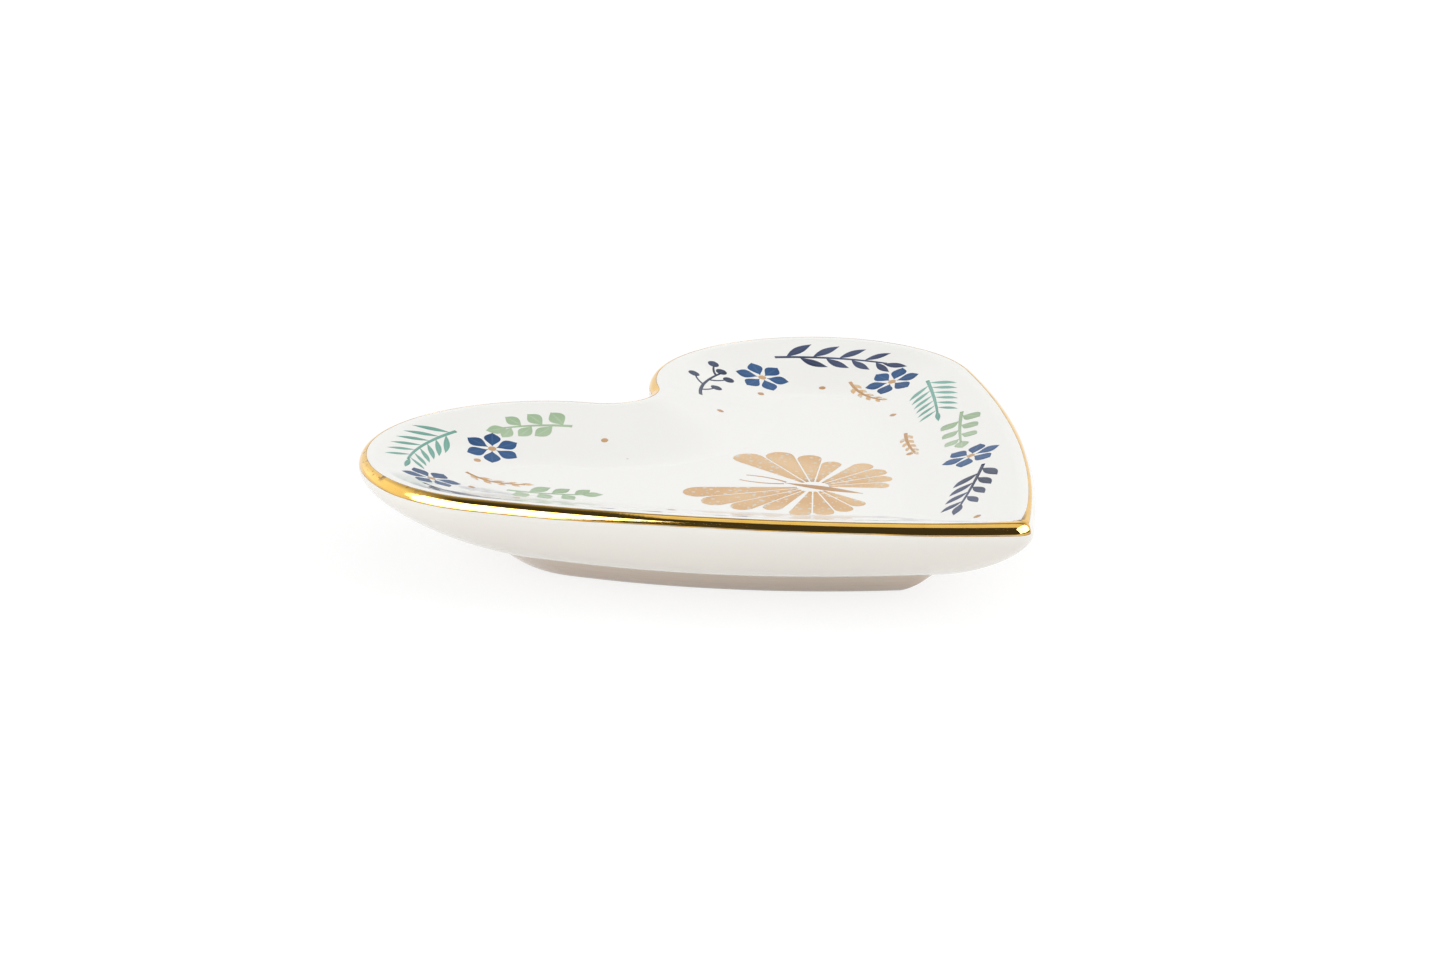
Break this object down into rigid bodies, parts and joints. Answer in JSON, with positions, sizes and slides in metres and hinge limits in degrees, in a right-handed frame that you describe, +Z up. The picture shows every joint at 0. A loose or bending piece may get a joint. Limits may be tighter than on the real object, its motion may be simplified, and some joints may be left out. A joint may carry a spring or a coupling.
{
  "type": "trinket dish",
  "caption": "Shallow heart-shaped porcelain trinket dish with a gold-lined rounded lip, a bulging underside, a set-back foot ring and a floral transfer in its well.",
  "frame": {"origin": "centre of the footprint's box, on the surface that the dish stands on", "axes": "+Z up; the heart is symmetric about the YZ plane, its tip points to -Y and its two lobes lie towards +Y; +X across the lobes"},
  "size_m": [0.12, 0.109, 0.0178],
  "materials": {
    "glazed_porcelain": "white porcelain under a clear gloss glaze, unglazed beige foot land",
    "gold_lustre": "hand-painted burnished gold lustre, slightly worn",
    "gold_ink": "fired overglaze transfer, tan gold",
    "navy_ink": "fired overglaze transfer, dark navy",
    "blue_ink": "fired overglaze transfer, mid blue",
    "sage_ink": "fired overglaze transfer, pale sage",
    "teal_ink": "fired overglaze transfer, teal"
  },
  "bodies": {
    "root": {"porcelain_dish": "glazed_porcelain", "gold_rim": "gold_lustre", "transfer_gold_butterfly": "gold_ink", "transfer_navy_sprigs": "navy_ink", "transfer_blue_blossoms": "blue_ink", "transfer_sage_sprays": "sage_ink", "transfer_teal_fronds": "teal_ink", "transfer_gold_accents": "gold_ink"}
  },
  "joints": []
}
